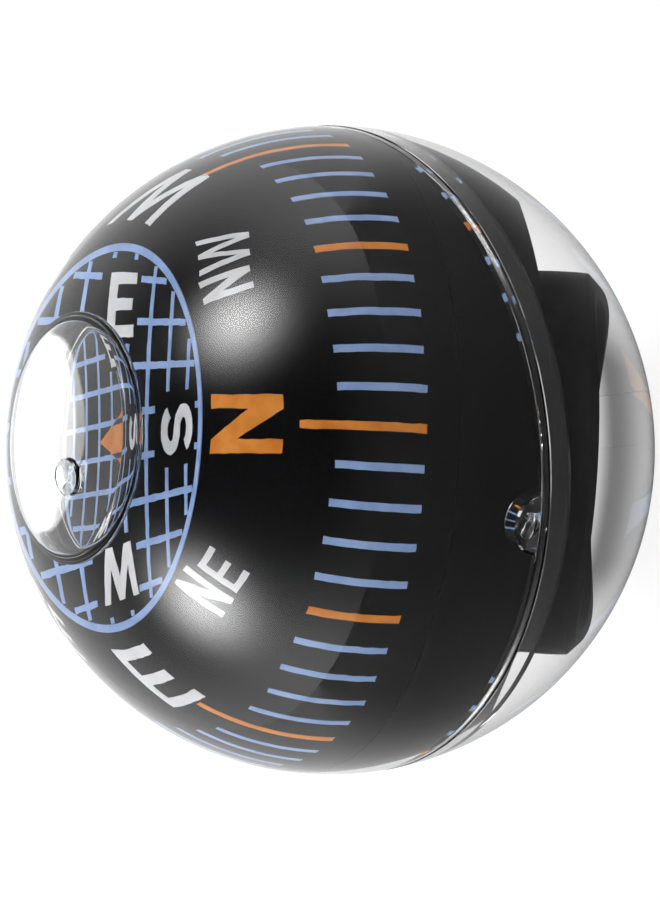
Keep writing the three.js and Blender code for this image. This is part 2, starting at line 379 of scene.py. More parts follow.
# Clear looks: material name, index and waviness
CLEAR = {
    "outer": ("clear_acrylic", PLASTIC_IOR, 0.01),
    "wet": ("clear_acrylic_wet", MATCHED_IOR, 0),
    "gap": ("clear_acrylic_joint", PLASTIC_IOR, 0.4),
    "post": ("clear_acrylic_in_liquid", IN_LIQUID_IOR, 0.1),
    "air": ("air_in_liquid", AIR_IN_LIQUID_IOR, 0),
    "jewel": ("jewel_glass", JEWEL_IN_LIQUID_IOR, 0.1),
}

# Plastic looks: material name, darkest and lightest colour, roughness, grain and index
PLASTICS = {
    "dial": ("dial_black", (0.003, 0.003, 0.0035), (0.006, 0.006, 0.007), 0.42, 4000, DIAL_IN_LIQUID_IOR),
    "ferrite": (
        "magnet_ferrite", (0.004, 0.004, 0.0045), (0.008, 0.008, 0.0085), 0.6, 1600, FERRITE_IN_LIQUID_IOR
    ),
    "foam": ("float_foam", (0.03, 0.033, 0.036), (0.06, 0.066, 0.072), 0.9, 2600, MATT_IN_LIQUID_IOR),
    "white": ("print_white", (0.75, 0.75, 0.77), (0.83, 0.83, 0.85), 0.5, 700, MATT_IN_LIQUID_IOR),
    "blue": ("print_blue", (0.27, 0.41, 0.72), (0.36, 0.50, 0.82), 0.5, 700, MATT_IN_LIQUID_IOR),
    "orange": ("print_orange", (0.72, 0.22, 0.03), (0.84, 0.32, 0.06), 0.5, 700, MATT_IN_LIQUID_IOR),
}

# Metal looks: material name, darkest and lightest colour, roughness and grain
METALS = {
    "steel": ("pivot_steel", (0.62, 0.63, 0.64), (0.74, 0.75, 0.76), 0.22, 1500),
    "brass": ("bush_brass", (0.60, 0.44, 0.18), (0.72, 0.56, 0.26), 0.3, 1200),
}

LOOKS = {look: clear_material(*row) for look, row in CLEAR.items()}
LOOKS.update({look: plastic_material(*row) for look, row in PLASTICS.items()})
LOOKS.update({look: metal_material(*row) for look, row in METALS.items()})


# Mesh tools
def arc(radius, start, stop, steps, rise=0.0):
    """Points of a circle about (0, rise), from one angle in degrees to another."""
    angles = [(start + (stop - start) * i / steps) * DEG for i in range(steps + 1)]
    return [(radius * math.cos(a), rise + radius * math.sin(a)) for a in angles]


def on_sphere(radius, z):
    """The distance from the axis of the point of a sphere at height z, or the other way round."""
    return math.sqrt(radius * radius - z * z)


def latitude_at(radius, z):
    """The latitude in degrees at which a sphere is at height z."""
    return math.asin(z / radius) / DEG


def latitude_of(radius, r):
    """The latitude in degrees at which a sphere is at distance r from its axis."""
    return math.acos(r / radius) / DEG


def mark_sharp(mesh):
    limit = SHARP_ANGLE * DEG
    for face in mesh.faces:
        face.smooth = True
    for edge in mesh.edges:
        if len(edge.link_faces) == 2:
            edge.smooth = edge.calc_face_angle(0) <= limit


def to_object(mesh, name, looks, turn=UPRIGHT):
    mark_sharp(mesh)
    bmesh.ops.scale(mesh, vec=(MM, MM, MM), verts=mesh.verts)
    mesh.transform(turn)
    data = bpy.data.meshes.new(name)
    mesh.to_mesh(data)
    mesh.free()
    for look in looks:
        data.materials.append(LOOKS[look])
    piece = bpy.data.objects.new(name, data)
    bpy.context.scene.collection.objects.link(piece)
    return piece


def joined(runs):
    """All points in one row without doubles, and the look number of each stretch between two of them."""
    points = []
    marks = []
    for look, run in runs:
        for point in run:
            if points and math.dist(points[-1], point) < SAME_POINT:
                continue
            if points:
                marks.append(look)
            points.append(point)
    return points, marks


def lathe(runs, sides):
    """Runs are (look number, points); each run goes on from the last point of the one before."""
    mesh = bmesh.new()
    points, marks = joined(runs)
    closed = points[0][0] > ON_AXIS or points[-1][0] > ON_AXIS
    if closed and math.dist(points[0], points[-1]) < SAME_POINT:
        points.pop()
    elif closed:
        marks.append(runs[-1][0])
    turns = [2 * math.pi * i / sides for i in range(sides)]
    rings = []
    for r, z in points:
        if r < ON_AXIS:
            rings.append([mesh.verts.new((0, 0, z))])
        else:
            rings.append([mesh.verts.new((r * math.cos(t), r * math.sin(t), z)) for t in turns])
    pairs = list(zip(rings, rings[1:]))
    if closed:
        pairs.append((rings[-1], rings[0]))
    for (lower, upper), look in zip(pairs, marks):
        for i in range(sides):
            j = (i + 1) % sides
            if len(lower) == 1:
                corners = (lower[0], upper[j], upper[i])
            elif len(upper) == 1:
                corners = (lower[i], lower[j], upper[0])
            else:
                corners = (lower[i], lower[j], upper[j], upper[i])
            mesh.faces.new(corners).material_index = look
    bmesh.ops.recalc_face_normals(mesh, faces=mesh.faces)
    return mesh


def turned(name, looks, runs, sides, turn=UPRIGHT):
    return to_object(lathe(runs, sides), name, looks, turn)


def prism(outline, start, stop):
    """A prism along -Y over an outline in XZ."""
    mesh = bmesh.new()
    near = [mesh.verts.new((x, -start, z)) for x, z in outline]
    far = [mesh.verts.new((x, -stop, z)) for x, z in outline]
    mesh.faces.new(near)
    mesh.faces.new(list(reversed(far)))
    for i in range(len(outline)):
        j = (i + 1) % len(outline)
        mesh.faces.new((near[i], far[i], far[j], near[j]))
    bmesh.ops.recalc_face_normals(mesh, faces=mesh.faces)
    return mesh


def cut(piece, tool, operation):
    """A boolean of two mesh objects; the tool is removed afterwards."""
    modifier = piece.modifiers.new("cut", "BOOLEAN")
    modifier.operation = operation
    modifier.solver = "EXACT"
    modifier.object = tool
    bpy.context.view_layer.update()
    shaped = piece.evaluated_get(bpy.context.evaluated_depsgraph_get())
    data = bpy.data.meshes.new_from_object(shaped)
    piece.modifiers.clear()
    old = piece.data
    piece.data = data
    bpy.data.meshes.remove(old)
    bpy.data.objects.remove(tool)
    mesh = bmesh.new()
    mesh.from_mesh(piece.data)
    bmesh.ops.remove_doubles(mesh, verts=mesh.verts, dist=WELD)
    mark_sharp(mesh)
    mesh.to_mesh(piece.data)
    mesh.free()


def settle(piece, body, slot, *nodes):
    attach(piece, body)
    if nodes:
        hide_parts(*nodes)
    return piece


# Case
def gate_outline():
    top = BALL_RADIUS + GATE_HEIGHT
    return [
        (GATE_RADIUS, top - GATE_CHAMFER),
        (GATE_RADIUS - GATE_CHAMFER, top),
        (GATE_DIMPLE_RADIUS, top),
        (0, top - GATE_DIMPLE_DEPTH),
    ]


def port_arch(radius, base):
    """The round top of the fill port, standing on its base."""
    return arc(radius, 0, HALF_TURN, SMALL_SIDES, base)


def port_frame():
    """The port's own frame: -Y out through the port, Z along the ball's axis."""
    return CASE_FRAME @ Matrix.Rotation((PORT_BEARING + POLE) * DEG, 4, "Z")


def build_dome():
    top_latitude = latitude_of(BALL_RADIUS, GATE_RADIUS)
    runs = [
        (1, arc(CAVITY_RADIUS, POLE, 0, BALL_STEPS) + [(CAVITY_RADIUS, -TONGUE_DEPTH)]),
        (2, [(TONGUE_OUTER, -TONGUE_DEPTH), (TONGUE_OUTER, 0)]),
        (2, [(BALL_RADIUS - RIM_BREAK, 0)]),
        (0, arc(BALL_RADIUS, RIM_BREAK / BALL_RADIUS / DEG, top_latitude, BALL_STEPS)),
        (0, gate_outline()),
    ]
    dome = turned("dome_shell", ("outer", "wet", "gap"), runs, BALL_SIDES, CASE_FRAME)
    port = [(-PORT_RADIUS, -PORT_RELIEF), (PORT_RADIUS, -PORT_RELIEF), *port_arch(PORT_RADIUS, 0)]
    mesh = prism(port, CAVITY_RADIUS - BALL_WALL, BALL_RADIUS + BALL_WALL)
    tool = to_object(mesh, "port_tool", ("gap",), port_frame())
    cut(dome, tool, "DIFFERENCE")
    return settle(dome, "case", "clear_shell", "upper_dome")


def build_plug():
    radius = PORT_RADIUS - 2 * PLUG_CLEARANCE
    block = prism(port_arch(radius, PLUG_CLEARANCE), CAVITY_RADIUS - PLUG_INWARD, BALL_RADIUS + BALL_WALL)
    plug = to_object(block, "fill_plug_smooth", ("outer",), port_frame())
    reach = BALL_RADIUS + PLUG_PROUD
    globe = arc(reach, -POLE, POLE, 2 * BALL_STEPS)
    ball = turned("plug_ball", ("outer",), [(0, globe)], 2 * BALL_SIDES, CASE_FRAME)
    cut(plug, ball, "INTERSECT")
    middle = PLUG_CLEARANCE + radius * HALF
    out = on_sphere(reach, middle) + DIMPLE_RADIUS - DIMPLE_DEPTH
    place = port_frame() @ Matrix.Translation(Vector((0, -out, middle)) * MM)
    bead = arc(DIMPLE_RADIUS, -POLE, POLE, SMALL_SIDES // 2)
    dimple = turned("plug_dimple", ("outer",), [(0, bead)], SMALL_SIDES, place)
    cut(plug, dimple, "DIFFERENCE")
    return settle(plug, "case", "clear_shell", "fill_plug")


def build_seal():
    top = -GLUE_GAP
    outer = BALL_RADIUS - SEAL_INSET
    runs = [
        (0, [(REBATE_RADIUS, top - SEAL_HEIGHT), (outer - RIM_BREAK, top - SEAL_HEIGHT)]),
        (0, [(outer, top - SEAL_HEIGHT + RIM_BREAK), (outer, top - RIM_BREAK)]),
        (0, [(outer - RIM_BREAK, top), (REBATE_RADIUS, top)]),
    ]
    seal = turned("seam_seal_smooth", ("gap",), runs, BALL_SIDES, CASE_FRAME)
    return settle(seal, "case", "clear_seal", "seam_seal")


def build_bowl():
    gate_latitude = latitude_of(BALL_RADIUS, GATE_RADIUS)
    stub = [(r, -z) for r, z in reversed(gate_outline())]
    rim_latitude = latitude_at(BALL_RADIUS, BOWL_RIM - RIM_BREAK)
    foot = BOSS_RADIUS + BOSS_FILLET
    inner_start = latitude_at(CAVITY_RADIUS, REBATE_FLOOR)
    inner = arc(CAVITY_RADIUS, inner_start, -latitude_of(CAVITY_RADIUS, foot), CAVITY_STEPS)
    floor = -on_sphere(CAVITY_RADIUS, foot)
    fillet = arc(BOSS_FILLET, -POLE, -HALF_TURN, FILLET_STEPS, floor + BOSS_FILLET)
    fillet = [(foot + r, z) for r, z in fillet[1:-1]]
    socket = SHANK_RADIUS + SHANK_CLEARANCE
    runs = [
        (0, stub + arc(BALL_RADIUS, -gate_latitude, rim_latitude, BALL_STEPS)),
        (2, [(BALL_RADIUS - RIM_BREAK, BOWL_RIM), (REBATE_RADIUS, BOWL_RIM)]),
        (2, [(REBATE_RADIUS, REBATE_FLOOR)]),
        (2, inner[:1]),
        (1, inner[1:] + fillet),
        (1, [(BOSS_RADIUS, BOSS_TOP), (socket, BOSS_TOP), (socket, SOCKET_FLOOR), (0, SOCKET_FLOOR)]),
    ]
    bowl = turned("bowl_shell", ("outer", "wet", "gap"), runs, BALL_SIDES, CASE_FRAME)
    return settle(bowl, "case", "clear_shell", "lower_bowl")


def build_post():
    flange_bottom = BOSS_TOP + SEAT_GAP
    flange_top = flange_bottom + FLANGE_HEIGHT
    bottom = SOCKET_FLOOR + SEAT_GAP
    hole = NEEDLE_RADIUS + NEEDLE_CLEARANCE
    top = -POST_TOP_DROP
    hole_floor = top - NEEDLE_IN_POST - SEAT_GAP
    profile = [
        (0, bottom),
        (SHANK_RADIUS, bottom),
        (SHANK_RADIUS, flange_bottom),
        (FLANGE_RADIUS, flange_bottom),
        (FLANGE_RADIUS, flange_top),
        (FOOT_RADIUS, flange_top),
        (POST_RADIUS, flange_top + FOOT_HEIGHT),
        (POST_RADIUS, top - POST_TOP_TAPER),
        (POST_TOP_RADIUS, top),
        (hole, top),
        (hole, hole_floor),
        (0, hole_floor),
    ]
    post = turned("pivot_post_smooth", ("post",), [(0, profile)], SMALL_SIDES, CASE_FRAME)
    return settle(post, "case", "clear_post", "pivot_post")


def build_needle():
    bottom = -POST_TOP_DROP - NEEDLE_IN_POST
    profile = [
        (0, bottom),
        (NEEDLE_RADIUS, bottom),
        (NEEDLE_RADIUS, -POINT_GAP - NEEDLE_POINT_LENGTH),
        (0, -POINT_GAP),
    ]
    needle = turned("pivot_needle_smooth", ("steel",), [(0, profile)], SMALL_SIDES, CASE_FRAME)
    return settle(needle, "needle", "pivot_steel", "pivot_needle")


# Dial
def hub_bore(z):
    return HUB_BORE_AT_POINT - z * LEAN_SLOPE


def hub_outer(z):
    return hub_bore(z) + HUB_WALL


def build_jewel():
    profile = [
        (0, 0),
        (JEWEL_DROP, -JEWEL_DROP),
        (JEWEL_RADIUS, -JEWEL_DROP),
        (JEWEL_RADIUS, JEWEL_TOP),
        (0, JEWEL_TOP),
    ]
    jewel = turned("jewel_cup_smooth", ("jewel",), [(0, profile)], SMALL_SIDES)
    return settle(jewel, "jewel", "jewel_glass", "jewel_cup")


def build_bush():
    top = BUSH_TOP + BUSH_FLANGE_HEIGHT
    profile = [
        (0, BUSH_CEILING),
        (BUSH_BORE, BUSH_CEILING),
        (BUSH_BORE, -JEWEL_DROP),
        (BUSH_RADIUS, -JEWEL_DROP),
        (BUSH_RADIUS, BUSH_TOP),
        (BUSH_FLANGE_RADIUS, BUSH_TOP),
        (BUSH_FLANGE_RADIUS, top),
        (0, top),
    ]
    bush = turned("jewel_bush_smooth", ("brass",), [(0, profile)], SMALL_SIDES)
    return settle(bush, "dial", "bush_brass", "jewel_bush")


def build_hub():
    flange = on_sphere(DIAL_INNER, HUB_FLANGE_BOTTOM - DIAL_RISE) - HUB_FLANGE_CLEARANCE
    profile = [
        (hub_bore(HUB_LIP_TOP), HUB_LIP_TOP),
        (hub_bore(HUB_FLANGE_BOTTOM), HUB_FLANGE_BOTTOM),
        (flange, HUB_FLANGE_BOTTOM),
        (flange, HUB_FLANGE_TOP),
        (hub_outer(HUB_FLANGE_TOP), HUB_FLANGE_TOP),
        (HUB_NECK, HUB_SHOULDER),
        (HUB_NECK, HUB_NECK_TOP),
        (HUB_SEAT, HUB_NECK_TOP),
        (HUB_SEAT, HUB_LIP_TOP),
    ]
    hub = turned("dial_hub_smooth", ("dial",), [(0, profile)], DIAL_SIDES)
    return settle(hub, "dial", "dial_black", "dial_hub")


def build_magnet():
    top = HUB_FLANGE_BOTTOM - MAGNET_GLUE
    bottom = top - MAGNET_HEIGHT
    bore = MAGNET_RADIUS - MAGNET_WALL
    profile = [
        (bore, top),
        (bore, bottom + MAGNET_CHAMFER),
        (bore + MAGNET_CHAMFER, bottom),
        (MAGNET_RADIUS - MAGNET_CHAMFER, bottom),
        (MAGNET_RADIUS, bottom + MAGNET_CHAMFER),
        (MAGNET_RADIUS, top),
    ]
    magnet = turned("ring_magnet_smooth", ("ferrite",), [(0, profile)], DIAL_SIDES)
    return settle(magnet, "dial", "magnet_ferrite", "ring_magnet")


def build_float():
    def inner(z):
        return hub_outer(z) + FLOAT_GAP

    def outer(z):
        return on_sphere(DIAL_INNER, z - DIAL_RISE) - FLOAT_SHELL_GAP

    bottom = WEB_TOP + FLOAT_GAP
    top = HUB_SHOULDER - FLOAT_GAP
    waist = (bottom + top) * HALF
    profile = [
        (inner(bottom), bottom),
        (outer(bottom), bottom),
        (outer(waist), waist),
        (inner(top) + FLOAT_TOP_WIDTH, top),
        (inner(top), top),
    ]
    ring = turned("float_ring_smooth", ("foam",), [(0, profile)], DIAL_SIDES)
    return settle(ring, "dial", "float_foam", "float_ring")


def build_cap():
    ceiling = FLAT_HEIGHT - DIAL_WALL
    inner_start = latitude_at(DIAL_INNER, ceiling - DIAL_RISE)
    inner_stop = latitude_at(DIAL_INNER, SPLIT_HEIGHT - DIAL_RISE)
    inner = arc(DIAL_INNER, inner_start, inner_stop, DIAL_STEPS // 2, DIAL_RISE)
    outer_start = latitude_at(DIAL_RADIUS, LAP_END - DIAL_RISE)
    outer_stop = FLAT_LATITUDE - EDGE_ROUND / DIAL_RADIUS / DEG
    outer = arc(DIAL_RADIUS, outer_start, outer_stop, DIAL_STEPS, DIAL_RISE)
    profile = [
        (0, ceiling),
        *inner,
        (on_sphere(DIAL_RADIUS, SPLIT_HEIGHT - DIAL_RISE) - LAP_THICKNESS, SPLIT_HEIGHT),
        (on_sphere(DIAL_RADIUS, LAP_END - DIAL_RISE) - LAP_THICKNESS, LAP_END),
        *outer,
        (FLAT_RADIUS - EDGE_ROUND, FLAT_HEIGHT),
        (0, FLAT_HEIGHT),
    ]
    cap = turned("dial_cap_smooth", ("dial",), [(0, profile)], DIAL_SIDES)
    return settle(cap, "dial", "dial_black", "dial_cap")


def build_skirt():
    shoulder = LAP_END - LAP_CLEARANCE
    edge_top = SPLIT_HEIGHT - LAP_CLEARANCE
    outer_stop = latitude_at(DIAL_RADIUS, shoulder - DIAL_RISE)
    outer = arc(DIAL_RADIUS, RIM_LATITUDE, outer_stop, DIAL_STEPS // 2, DIAL_RISE)
    inner_start = latitude_at(DIAL_INNER, edge_top - DIAL_RISE)
    inner_stop = latitude_at(DIAL_INNER, WEB_TOP - DIAL_RISE)
    inner = arc(DIAL_INNER, inner_start, inner_stop, EDGE_STEPS, DIAL_RISE)
    lap = LAP_THICKNESS + LAP_CLEARANCE
    web_inner = hub_outer(WEB_BOTTOM) + FLOAT_GAP
    profile = [
        *outer,
        (on_sphere(DIAL_RADIUS, shoulder - DIAL_RISE) - lap, shoulder),
        (on_sphere(DIAL_RADIUS, edge_top - DIAL_RISE) - lap, edge_top),
        *inner,
        (web_inner, WEB_TOP),
        (web_inner, WEB_BOTTOM),
        (on_sphere(DIAL_INNER, WEB_BOTTOM - DIAL_RISE), WEB_BOTTOM),
        (on_sphere(DIAL_INNER, RIM_HEIGHT - DIAL_RISE), RIM_HEIGHT),
    ]
    skirt = turned("dial_skirt_smooth", ("dial",), [(0, profile)], DIAL_SIDES)
    return settle(skirt, "dial", "dial_black", "dial_skirt")


def build_bubble():
    """A lens of air: the wall's curve above, a flatter curve below and a rounded edge between them."""
    wall = CAVITY_RADIUS - BUBBLE_FILM
    edge_r = BUBBLE_RADIUS - BUBBLE_EDGE
    edge_z = on_sphere(wall - BUBBLE_EDGE, edge_r)
    below = BUBBLE_UNDERSIDE - BUBBLE_EDGE
    centre = edge_z + on_sphere(below, edge_r)
    top_angle = math.atan2(edge_z, edge_r) / DEG
    low_angle = math.atan2(edge_z - centre, edge_r) / DEG
    edge = [(edge_r + r, edge_z + z) for r, z in arc(BUBBLE_EDGE, top_angle, low_angle, EDGE_STEPS)]
    runs = [
        (0, arc(wall, POLE, top_angle, BALL_STEPS // 2)),
        (0, edge),
        (0, arc(BUBBLE_UNDERSIDE, low_angle, -POLE, BALL_STEPS // 2, centre)),
    ]
    turn = upright_to(leaning(BUBBLE_TILT, BUBBLE_BEARING))
    bubble = turned("air_bubble", ("air",), runs, BALL_SIDES, turn)
    return settle(bubble, "jewel", "liquid")


# Print, its ragged edges the same in every run
noise.seed_set(WOBBLE_SEED)


def on_dial(longitude, latitude, lift):
    """A point on the dial's side or off it by a lift, from two angles in radians."""
    r = DIAL_RADIUS + lift
    flat = r * math.cos(latitude)
    height = DIAL_RISE + r * math.sin(latitude)
    return Vector((flat * math.sin(longitude), -flat * math.cos(longitude), height))


def fill(outline):
    """The inside of an outline as a flat mesh, cut up so that it can follow the dial."""
    mesh = bmesh.new()
    corners = [mesh.verts.new((x, y, 0)) for x, y in outline]
    mesh.faces.new(corners)
    mesh.normal_update()
    bmesh.ops.triangulate(mesh, faces=mesh.faces[:])
    for axis in (0, 1):
        values = [v.co[axis] for v in mesh.verts]
        low, high = min(values), max(values)
        count = int((high - low) / MESH_STEP)
        normal = Vector((0, 0, 0))
        normal[axis] = 1
        for i in range(1, count + 1):
            place = normal * (low + (high - low) * i / (count + 1))
            everything = mesh.verts[:] + mesh.edges[:] + mesh.faces[:]
            bmesh.ops.bisect_plane(mesh, geom=everything, dist=CUT_SLACK, plane_co=place, plane_no=normal)
    bmesh.ops.recalc_face_normals(mesh, faces=mesh.faces)
    return mesh


def add_ink(target, outline, place):
    """Adds an outline to the target mesh as a thin layer; place(x, y, lift) gives its points in space."""
    flat = fill(outline)
    flat.verts.index_update()
    tops = []
    feet = []
    for v in flat.verts:
        here = Vector((v.co.x, v.co.y, len(target.verts) * WOBBLE_STEP))
        shift = noise.noise_vector(here * WOBBLE_SCALE) * WOBBLE
        x, y = v.co.x + shift.x, v.co.y + shift.y
        tops.append(target.verts.new(place(x, y, INK_LIFT)))
        feet.append(target.verts.new(place(x, y, -INK_SINK)))
    for face in flat.faces:
        ids = [v.index for v in face.verts]
        if face.normal.z < 0:
            ids.reverse()
        target.faces.new([tops[i] for i in ids])
        target.faces.new([feet[i] for i in reversed(ids)])
    for edge in flat.edges:
        if len(edge.link_faces) == 1:
            a, b = (v.index for v in edge.verts)
            target.faces.new((tops[a], tops[b], feet[b], feet[a]))
    flat.free()


def ink_object(mesh, name, look, slot):
    bmesh.ops.recalc_face_normals(mesh, faces=mesh.faces)
    return settle(to_object(mesh, name, (look,)), "dial", slot)


def rectangle(x0, y0, x1, y1):
    return [(x0, y0), (x1, y0), (x1, y1), (x0, y1)]


def ribbon(points, width):
    """The outline of a stroke along points, with mitred corners and square ends."""
    left = []
    right = []
    half = width * HALF
    last = len(points) - 1
    for i, point in enumerate(points):
        before = Vector(points[max(i - 1, 0)])
        after = Vector(points[min(i + 1, last)])
        here = Vector(point)
        into = (here - before).normalized() if i > 0 else (after - here).normalized()
        out = (after - here).normalized() if i < last else into
        side_in = Vector((-into.y, into.x))
        side_out = Vector((-out.y, out.x))
        middle = (side_in + side_out).normalized()
        reach = half / max(middle.dot(side_in), HALF)
        left.append(tuple(here + middle * reach))
        right.append(tuple(here - middle * reach))
    return left + right[::-1]


def centred(outline, w, h):
    return [(x - w * HALF, y - h * HALF) for x, y in outline]


# Shapes of letters in shares of their height, width or stroke, and the arc of an S in degrees
N_NOTCH = 0.6
E_SHORT_ARM = 0.9
W_CROTCH = 1.7
W_CROTCH_SHIFT = 0.1
W_PEAK = 0.45
W_UNDER_PEAK = 2.0
W_FOOT = 0.55
S_START = 20
S_SWEEP = 250
S_STEPS = 14


def letter_n(w, h, t, low_notch=N_NOTCH, high_notch=N_NOTCH):
    """A letter of width w, height h and stroke t, as the others here."""
    outline = [(0, 0), (t, 0), (t, h * low_notch), (w - t, 0), (w, 0)]
    outline += [(w, h), (w - t, h), (w - t, h * (1 - high_notch)), (t, h), (0, h)]
    return centred(outline, w, h)


def letter_e(w, h, t, stem):
    middle = (h - t) * HALF
    short = w * E_SHORT_ARM
    outline = [(0, 0), (w, 0), (w, t), (stem, t)]
    outline += [(stem, middle), (short, middle), (short, middle + t), (stem, middle + t)]
    outline += [(stem, h - t), (w, h - t), (w, h), (0, h)]
    return centred(outline, w, h)


def letter_w(w, h, t):
    step = w / 4
    crotch = t * W_CROTCH
    shift = t * W_CROTCH_SHIFT
    peak = t * W_PEAK
    foot = t * W_FOOT
    outline = [(0, h), (t, h), (step + shift, crotch), (2 * step - peak, h)]
    outline += [(2 * step + peak, h), (3 * step - shift, crotch), (w - t, h), (w, h)]
    outline += [(3 * step + foot, 0), (3 * step - foot, 0), (2 * step, h - t * W_UNDER_PEAK)]
    outline += [(step + foot, 0), (step - foot, 0)]
    return centred(outline, w, h)


def letter_s(w, h, t):
    across = (w - t) * HALF
    along = (h - t) * HALF * HALF
    top = h - t * HALF - along
    low = t * HALF + along
    points = []
    for i in range(S_STEPS + 1):
        angle = (S_START + S_SWEEP * i / S_STEPS) * DEG
        points.append((w * HALF + across * math.cos(angle), top + along * math.sin(angle)))
    for i in range(1, S_STEPS + 1):
        angle = (POLE - S_SWEEP * i / S_STEPS) * DEG
        points.append((w * HALF + across * math.cos(angle), low + along * math.sin(angle)))
    return centred(ribbon(points, t), w, h)


# North's letter and its latitude
NORTH_LETTER = letter_n(3.6, 4.5, 0.88, 0.63, 0.52)
NORTH_LATITUDE = 34.5

# Side letters: outline, longitude, latitude and tilt
SIDE_LETTERS = (
    (letter_n(1.8, 3.2, 0.45), 42.7, 35.2, -4),
    (letter_w(3.1, 3.2, 0.45), 55.0, 32.8, -15),
    (letter_n(1.7, 3.5, 0.44), -51.8, 37.1, -8),
    (letter_e(1.7, 2.9, 0.42, 0.42), -42.2, 34.7, -14),
    (letter_w(6.2, 4.6, 0.8), 100.0, 29.6, -10),
    (letter_e(4.0, 4.8, 0.8, 0.8), -96.5, 31.8, 0),
    (letter_s(3.2, 4.6, 0.8), 180.0, 34.0, 0),
    (letter_s(1.8, 3.2, 0.45), 136.0, 34.8, 0),
    (letter_w(2.9, 3.2, 0.45), 148.0, 34.4, 8),
    (letter_s(1.8, 3.2, 0.45), -148.0, 34.8, 0),
    (letter_e(1.7, 3.2, 0.45, 0.45), -137.0, 34.8, 0),
)

# Letters of the flat top: outline, x, y and turn
FLAT_LETTERS = (
    (letter_e(2.9, 3.75, 0.7, 0.85), 7.2, -0.3, -87.7),
    (letter_w(4.1, 3.2, 0.7), -7.45, -0.25, 90),
    (letter_s(2.9, 4.05, 0.78), -0.05, -7.55, 180),
)


def on_side(longitude, latitude, tilt=0.0):
    """Places flat letter points round a point of the dial's side, tops towards the pole."""
    c, s = math.cos(tilt * DEG), math.sin(tilt * DEG)

    def place(x, y, lift):
        across, along = c * x - s * y, s * x + c * y
        lat = latitude * DEG + along / DIAL_RADIUS
        return on_dial(longitude * DEG + across / (DIAL_RADIUS * math.cos(lat)), lat, lift)

    return place


def on_flat(x0, y0, turn, share=1.0):
    """Places flat points on the dial's top, with a share of the full lift."""
    c, s = math.cos(turn * DEG), math.sin(turn * DEG)

    def place(x, y, lift):
        return Vector((x0 + c * x - s * y, y0 + s * x + c * y, FLAT_HEIGHT + lift * share))

    return place


def along_meridian(longitude, spread, centre, length):
    """Places a tick's points; the spread moves its top sideways by so many degrees."""

    def place(x, y, lift):
        away = spread * (y / length + HALF)
        return on_dial((longitude + away) * DEG + x / DIAL_RADIUS, centre * DEG + y / DIAL_RADIUS, lift)

    return place


def ragged(i, pace, start):
    """How far the end of tick i strays, in degrees of latitude."""
    return noise.noise(Vector((i * pace, start, 0))) * TICK_RAGGEDNESS


def build_ticks():
    meshes = {"blue": bmesh.new(), "orange": bmesh.new()}
    for i in range(TICK_COUNT):
        longitude = (i * FULL_TURN / TICK_COUNT + HALF_TURN) % FULL_TURN - HALF_TURN
        off_axis = min(abs(longitude), HALF_TURN - abs(longitude)) / POLE
        spread = math.copysign(TICK_SPREAD * off_axis**SPREAD_POWER, longitude)
        look = "orange" if i % ORANGE_EVERY == 0 else "blue"
        top = LONG_TICK_TOP if i % LONG_EVERY == 0 else SHORT_TICK_TOP
        top += ragged(i, *TOP_NOISE)
        foot = TICK_FOOT + ragged(i, *FOOT_NOISE)
        length = (top - foot) * DEG * DIAL_RADIUS
        half = (LONG_TICK_WIDTH if look == "orange" else TICK_WIDTH) * HALF
        tick = rectangle(-half, -length * HALF, half, length * HALF)
        add_ink(meshes[look], tick, along_meridian(longitude, spread, (top + foot) * HALF, length))
    ink_object(meshes["blue"], "ticks_blue", "blue", "print_blue")
    ink_object(meshes["orange"], "ticks_orange", "orange", "print_orange")


def build_side_letters():
    north = bmesh.new()
    add_ink(north, NORTH_LETTER, on_side(0, NORTH_LATITUDE))
    ink_object(north, "letter_north", "orange", "print_orange")
    side = bmesh.new()
    for outline, longitude, latitude, tilt in SIDE_LETTERS:
        add_ink(side, outline, on_side(longitude, latitude, tilt))
    ink_object(side, "letters_side", "white", "print_white")


def add_ring(target):
    """Adds the emblem's ring to the target mesh."""
    place = on_flat(0, 0, 0)
    inner = EMBLEM_RADIUS - EMBLEM_RING_WIDTH * HALF
    outer = EMBLEM_RADIUS + EMBLEM_RING_WIDTH * HALF
    loops = []
    for radius, lift in ((inner, INK_LIFT), (outer, INK_LIFT), (outer, -INK_SINK), (inner, -INK_SINK)):
        circle = arc(radius, 0, FULL_TURN, DIAL_SIDES)
        loops.append([target.verts.new(place(x, y, lift)) for x, y in circle[:-1]])
    for one, two in zip(loops, loops[1:] + loops[:1]):
        for i in range(DIAL_SIDES):
            j = (i + 1) % DIAL_SIDES
            target.faces.new((one[i], one[j], two[j], two[i]))


def free_spans(axis, at, far):
    """The stretches of a grid line that lie outside the windows; axis is the one that the line crosses."""
    spans = [(-far, far)]
    half = GRID_LINE * HALF
    for window in WINDOWS:
        near_side, far_side = window[axis]
        low, high = window[1 - axis]
        if not near_side - half < at < far_side + half:
            continue
        stretches = []
        for start, stop in spans:
            if low > start:
                stretches.append((start, min(stop, low)))
            if high < stop:
                stretches.append((max(start, high), stop))
        spans = [(start, stop) for start, stop in stretches if stop - start > SHORTEST_SPAN]
    return spans


def add_grid(target):
    """Adds the grid's lines; those of the second axis lie a little lower, so that no two faces meet flush."""
    half = GRID_LINE * HALF
    reach = EMBLEM_RADIUS - EMBLEM_RING_WIDTH * HALF - GRID_GAP
    for axis, share in ((0, 1.0), (1, CROSS_LIFT)):
        for n in range(-LINES_PER_SIDE, LINES_PER_SIDE):
            at = (n + HALF) * GRID_PITCH
            for start, stop in free_spans(axis, at, on_sphere(reach, abs(at) + half)):
                if axis == 0:
                    line = rectangle(at - half, start, at + half, stop)
                else:
                    line = rectangle(start, at - half, stop, at + half)
                add_ink(target, line, on_flat(0, 0, 0, share))


